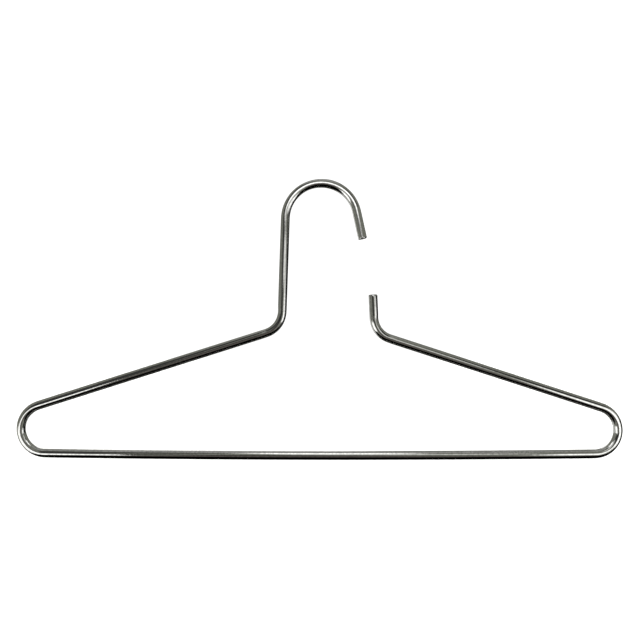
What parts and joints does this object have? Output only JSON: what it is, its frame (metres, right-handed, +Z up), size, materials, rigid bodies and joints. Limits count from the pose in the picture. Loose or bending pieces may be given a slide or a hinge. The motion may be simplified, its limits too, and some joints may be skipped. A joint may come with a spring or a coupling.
{
  "type": "clothes hanger",
  "caption": "Open clothes hanger bent from one round chromed bar, with a hook, sloping shoulders, rounded ends, a straight lower bar and a gap between hook and stub.",
  "frame": {"origin": "the hook's seat: the highest point of the hook's inner side, where the hanger bears on a rail", "axes": "+Z up as it hangs, +X along the hanger towards the side where the bar's gap is, +Y along the rail; the bar's centreline lies in the plane Y = 0"},
  "size_m": [0.4247, 0.0064, 0.1971],
  "materials": {
    "polished_chrome": "polished, with faint lengthwise drawing marks"
  },
  "bodies": {
    "root": {"hanger_rod": "polished_chrome"}
  },
  "joints": []
}
